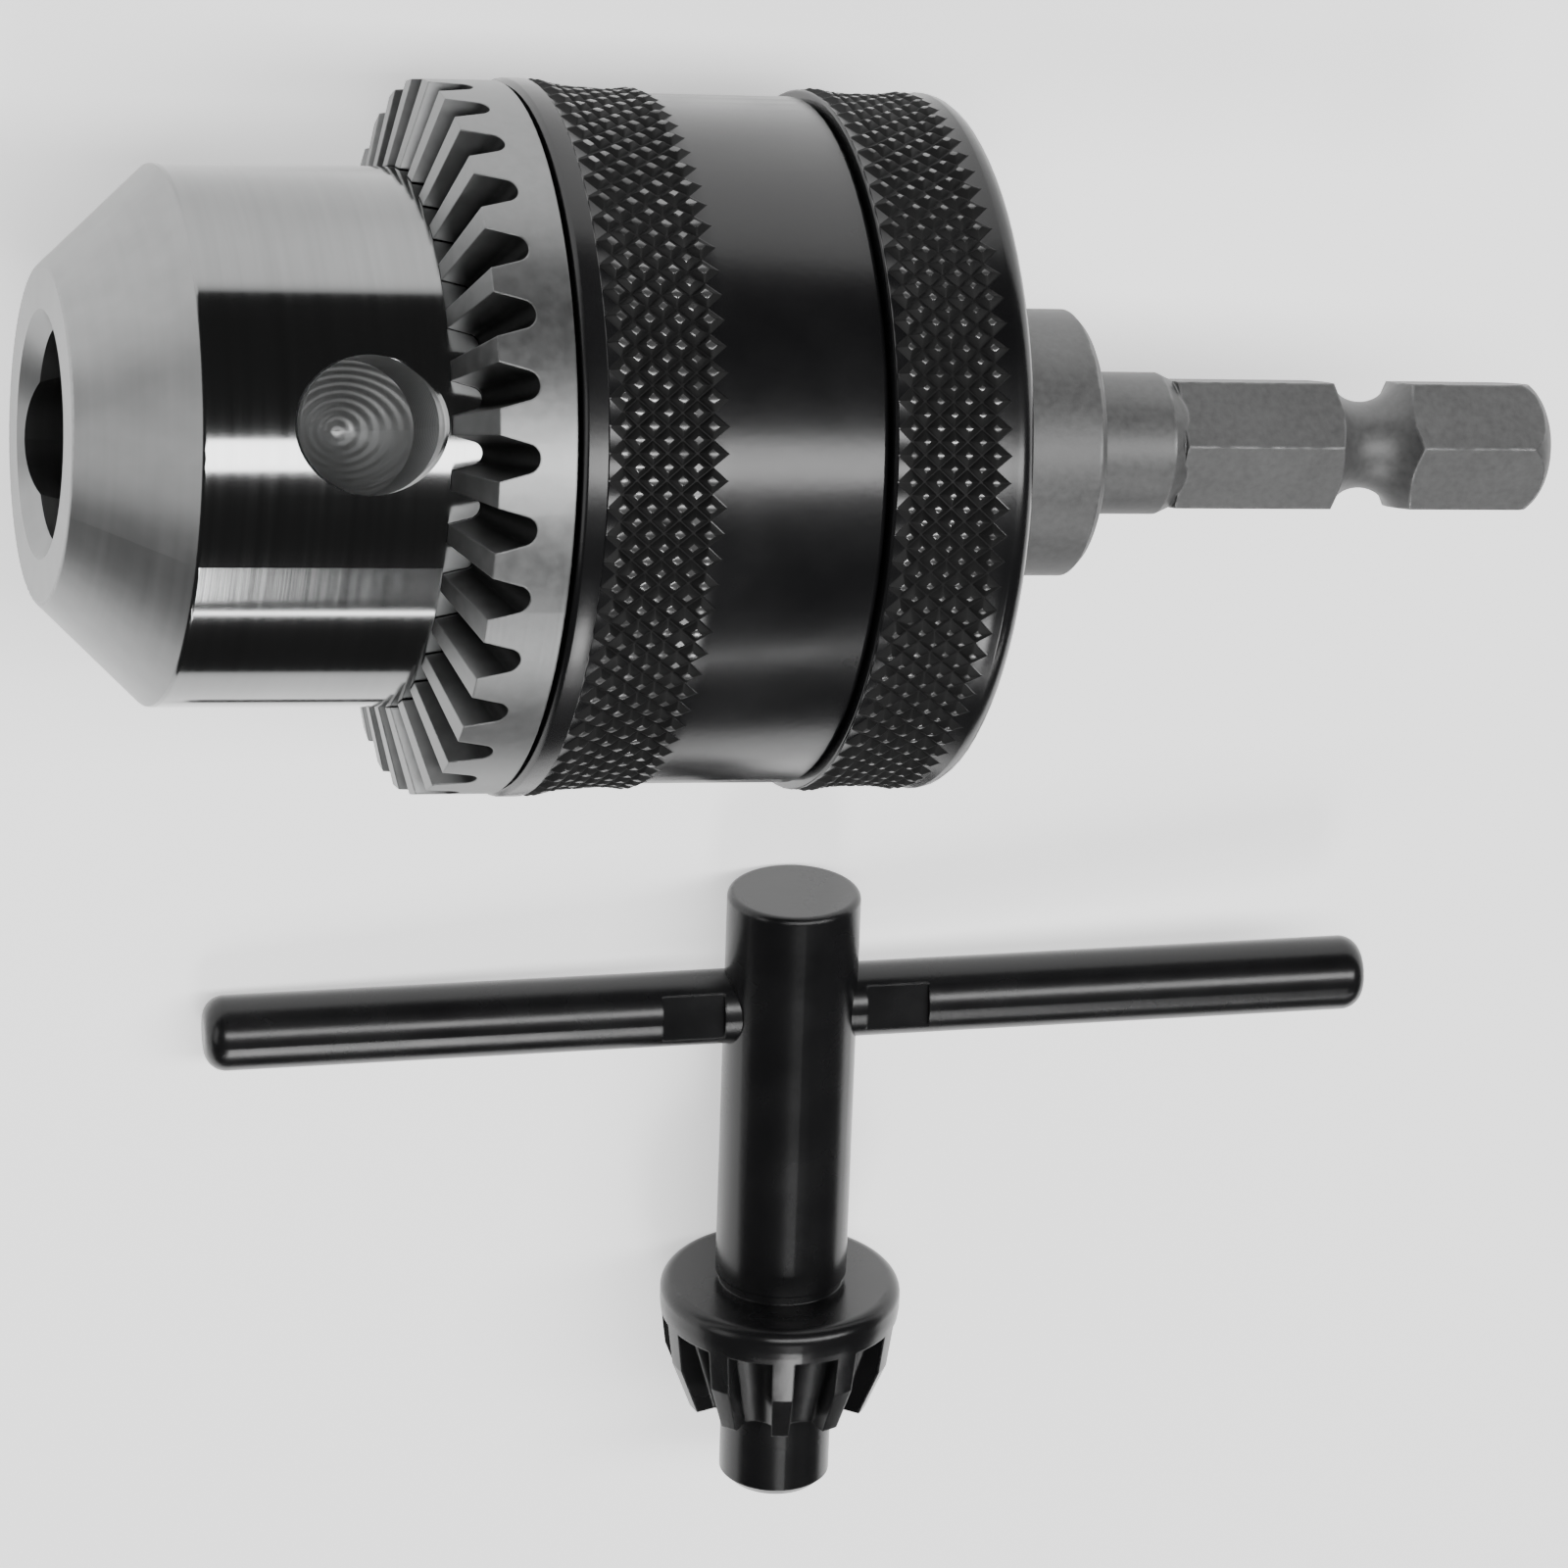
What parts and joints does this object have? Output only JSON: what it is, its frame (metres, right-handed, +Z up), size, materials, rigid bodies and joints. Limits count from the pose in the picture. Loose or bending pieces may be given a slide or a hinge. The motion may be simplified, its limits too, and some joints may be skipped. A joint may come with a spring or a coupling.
{
  "type": "keyed drill chuck with hex adapter and chuck key",
  "caption": "Keyed drill chuck with a bevel ring gear, knurled sleeve, coupled sliding jaws, hex quick-change adapter and a T-handled pinion key.",
  "frame": {"origin": "centre of the nose face on the chuck's axis", "axes": "+X along the chuck's axis from nose to hex shank, +Z up with the chuck lying on its sleeve, the key lying beside it on the -Y side"},
  "size_m": [0.0793, 0.0885, 0.035],
  "materials": {
    "bright_nose": "turned bright steel, polished on the cylinder",
    "black_oxide": "black oxide, semi-gloss",
    "phosphated_steel": "fine blasted grey, matte",
    "satin_gear_steel": "satin grey",
    "nut_steel": "oiled machined steel",
    "jaw_steel": "ground hardened steel",
    "black_key_steel": "black oxide, oiled gloss"
  },
  "bodies": {
    "chuck": {"chuck_body": "bright_nose", "rear_collar": "black_oxide", "shank_adapter": "phosphated_steel"},
    "sleeve_unit": {"sleeve": "black_oxide", "ring_gear": "satin_gear_steel", "nut_half_a": "nut_steel", "nut_half_b": "nut_steel"},
    "jaw_1_body": {"jaw_1": "jaw_steel"},
    "jaw_2_body": {"jaw_2": "jaw_steel"},
    "jaw_3_body": {"jaw_3": "jaw_steel"},
    "key": {"key_stem": "black_key_steel", "tommy_bar": "black_key_steel"}
  },
  "joints": [
    {"name": "sleeve_turn", "type": "hinge", "parent": "chuck", "child": "sleeve_unit", "pos_m": [0.0241, 0, 0], "axis": [1, 0, 0], "range_deg": [-496, 4067]},
    {"name": "jaw_1_slide", "type": "slide", "parent": "chuck", "child": "jaw_1_body", "axis": [-0.9703, -0.2419, 0.0017], "range_m": [-0.00207, 0.01695]},
    {"name": "jaw_2_slide", "type": "slide", "parent": "chuck", "child": "jaw_2_body", "axis": [-0.9703, 0.1224, 0.2087], "range_m": [-0.00207, 0.01695]},
    {"name": "jaw_3_slide", "type": "slide", "parent": "chuck", "child": "jaw_3_body", "axis": [-0.9703, 0.1195, -0.2103], "range_m": [-0.00207, 0.01695]},
    {"name": "key_lift", "type": "slide", "parent": "chuck", "child": "key", "axis": [0, 0, 1], "range_m": [0, 0.05]}
  ],
  "couplings": [
    {"joint": "jaw_1_slide", "follows": "sleeve_turn", "m_per_rad": 0.00023873},
    {"joint": "jaw_2_slide", "follows": "sleeve_turn", "m_per_rad": 0.00023873},
    {"joint": "jaw_3_slide", "follows": "sleeve_turn", "m_per_rad": 0.00023873}
  ]
}
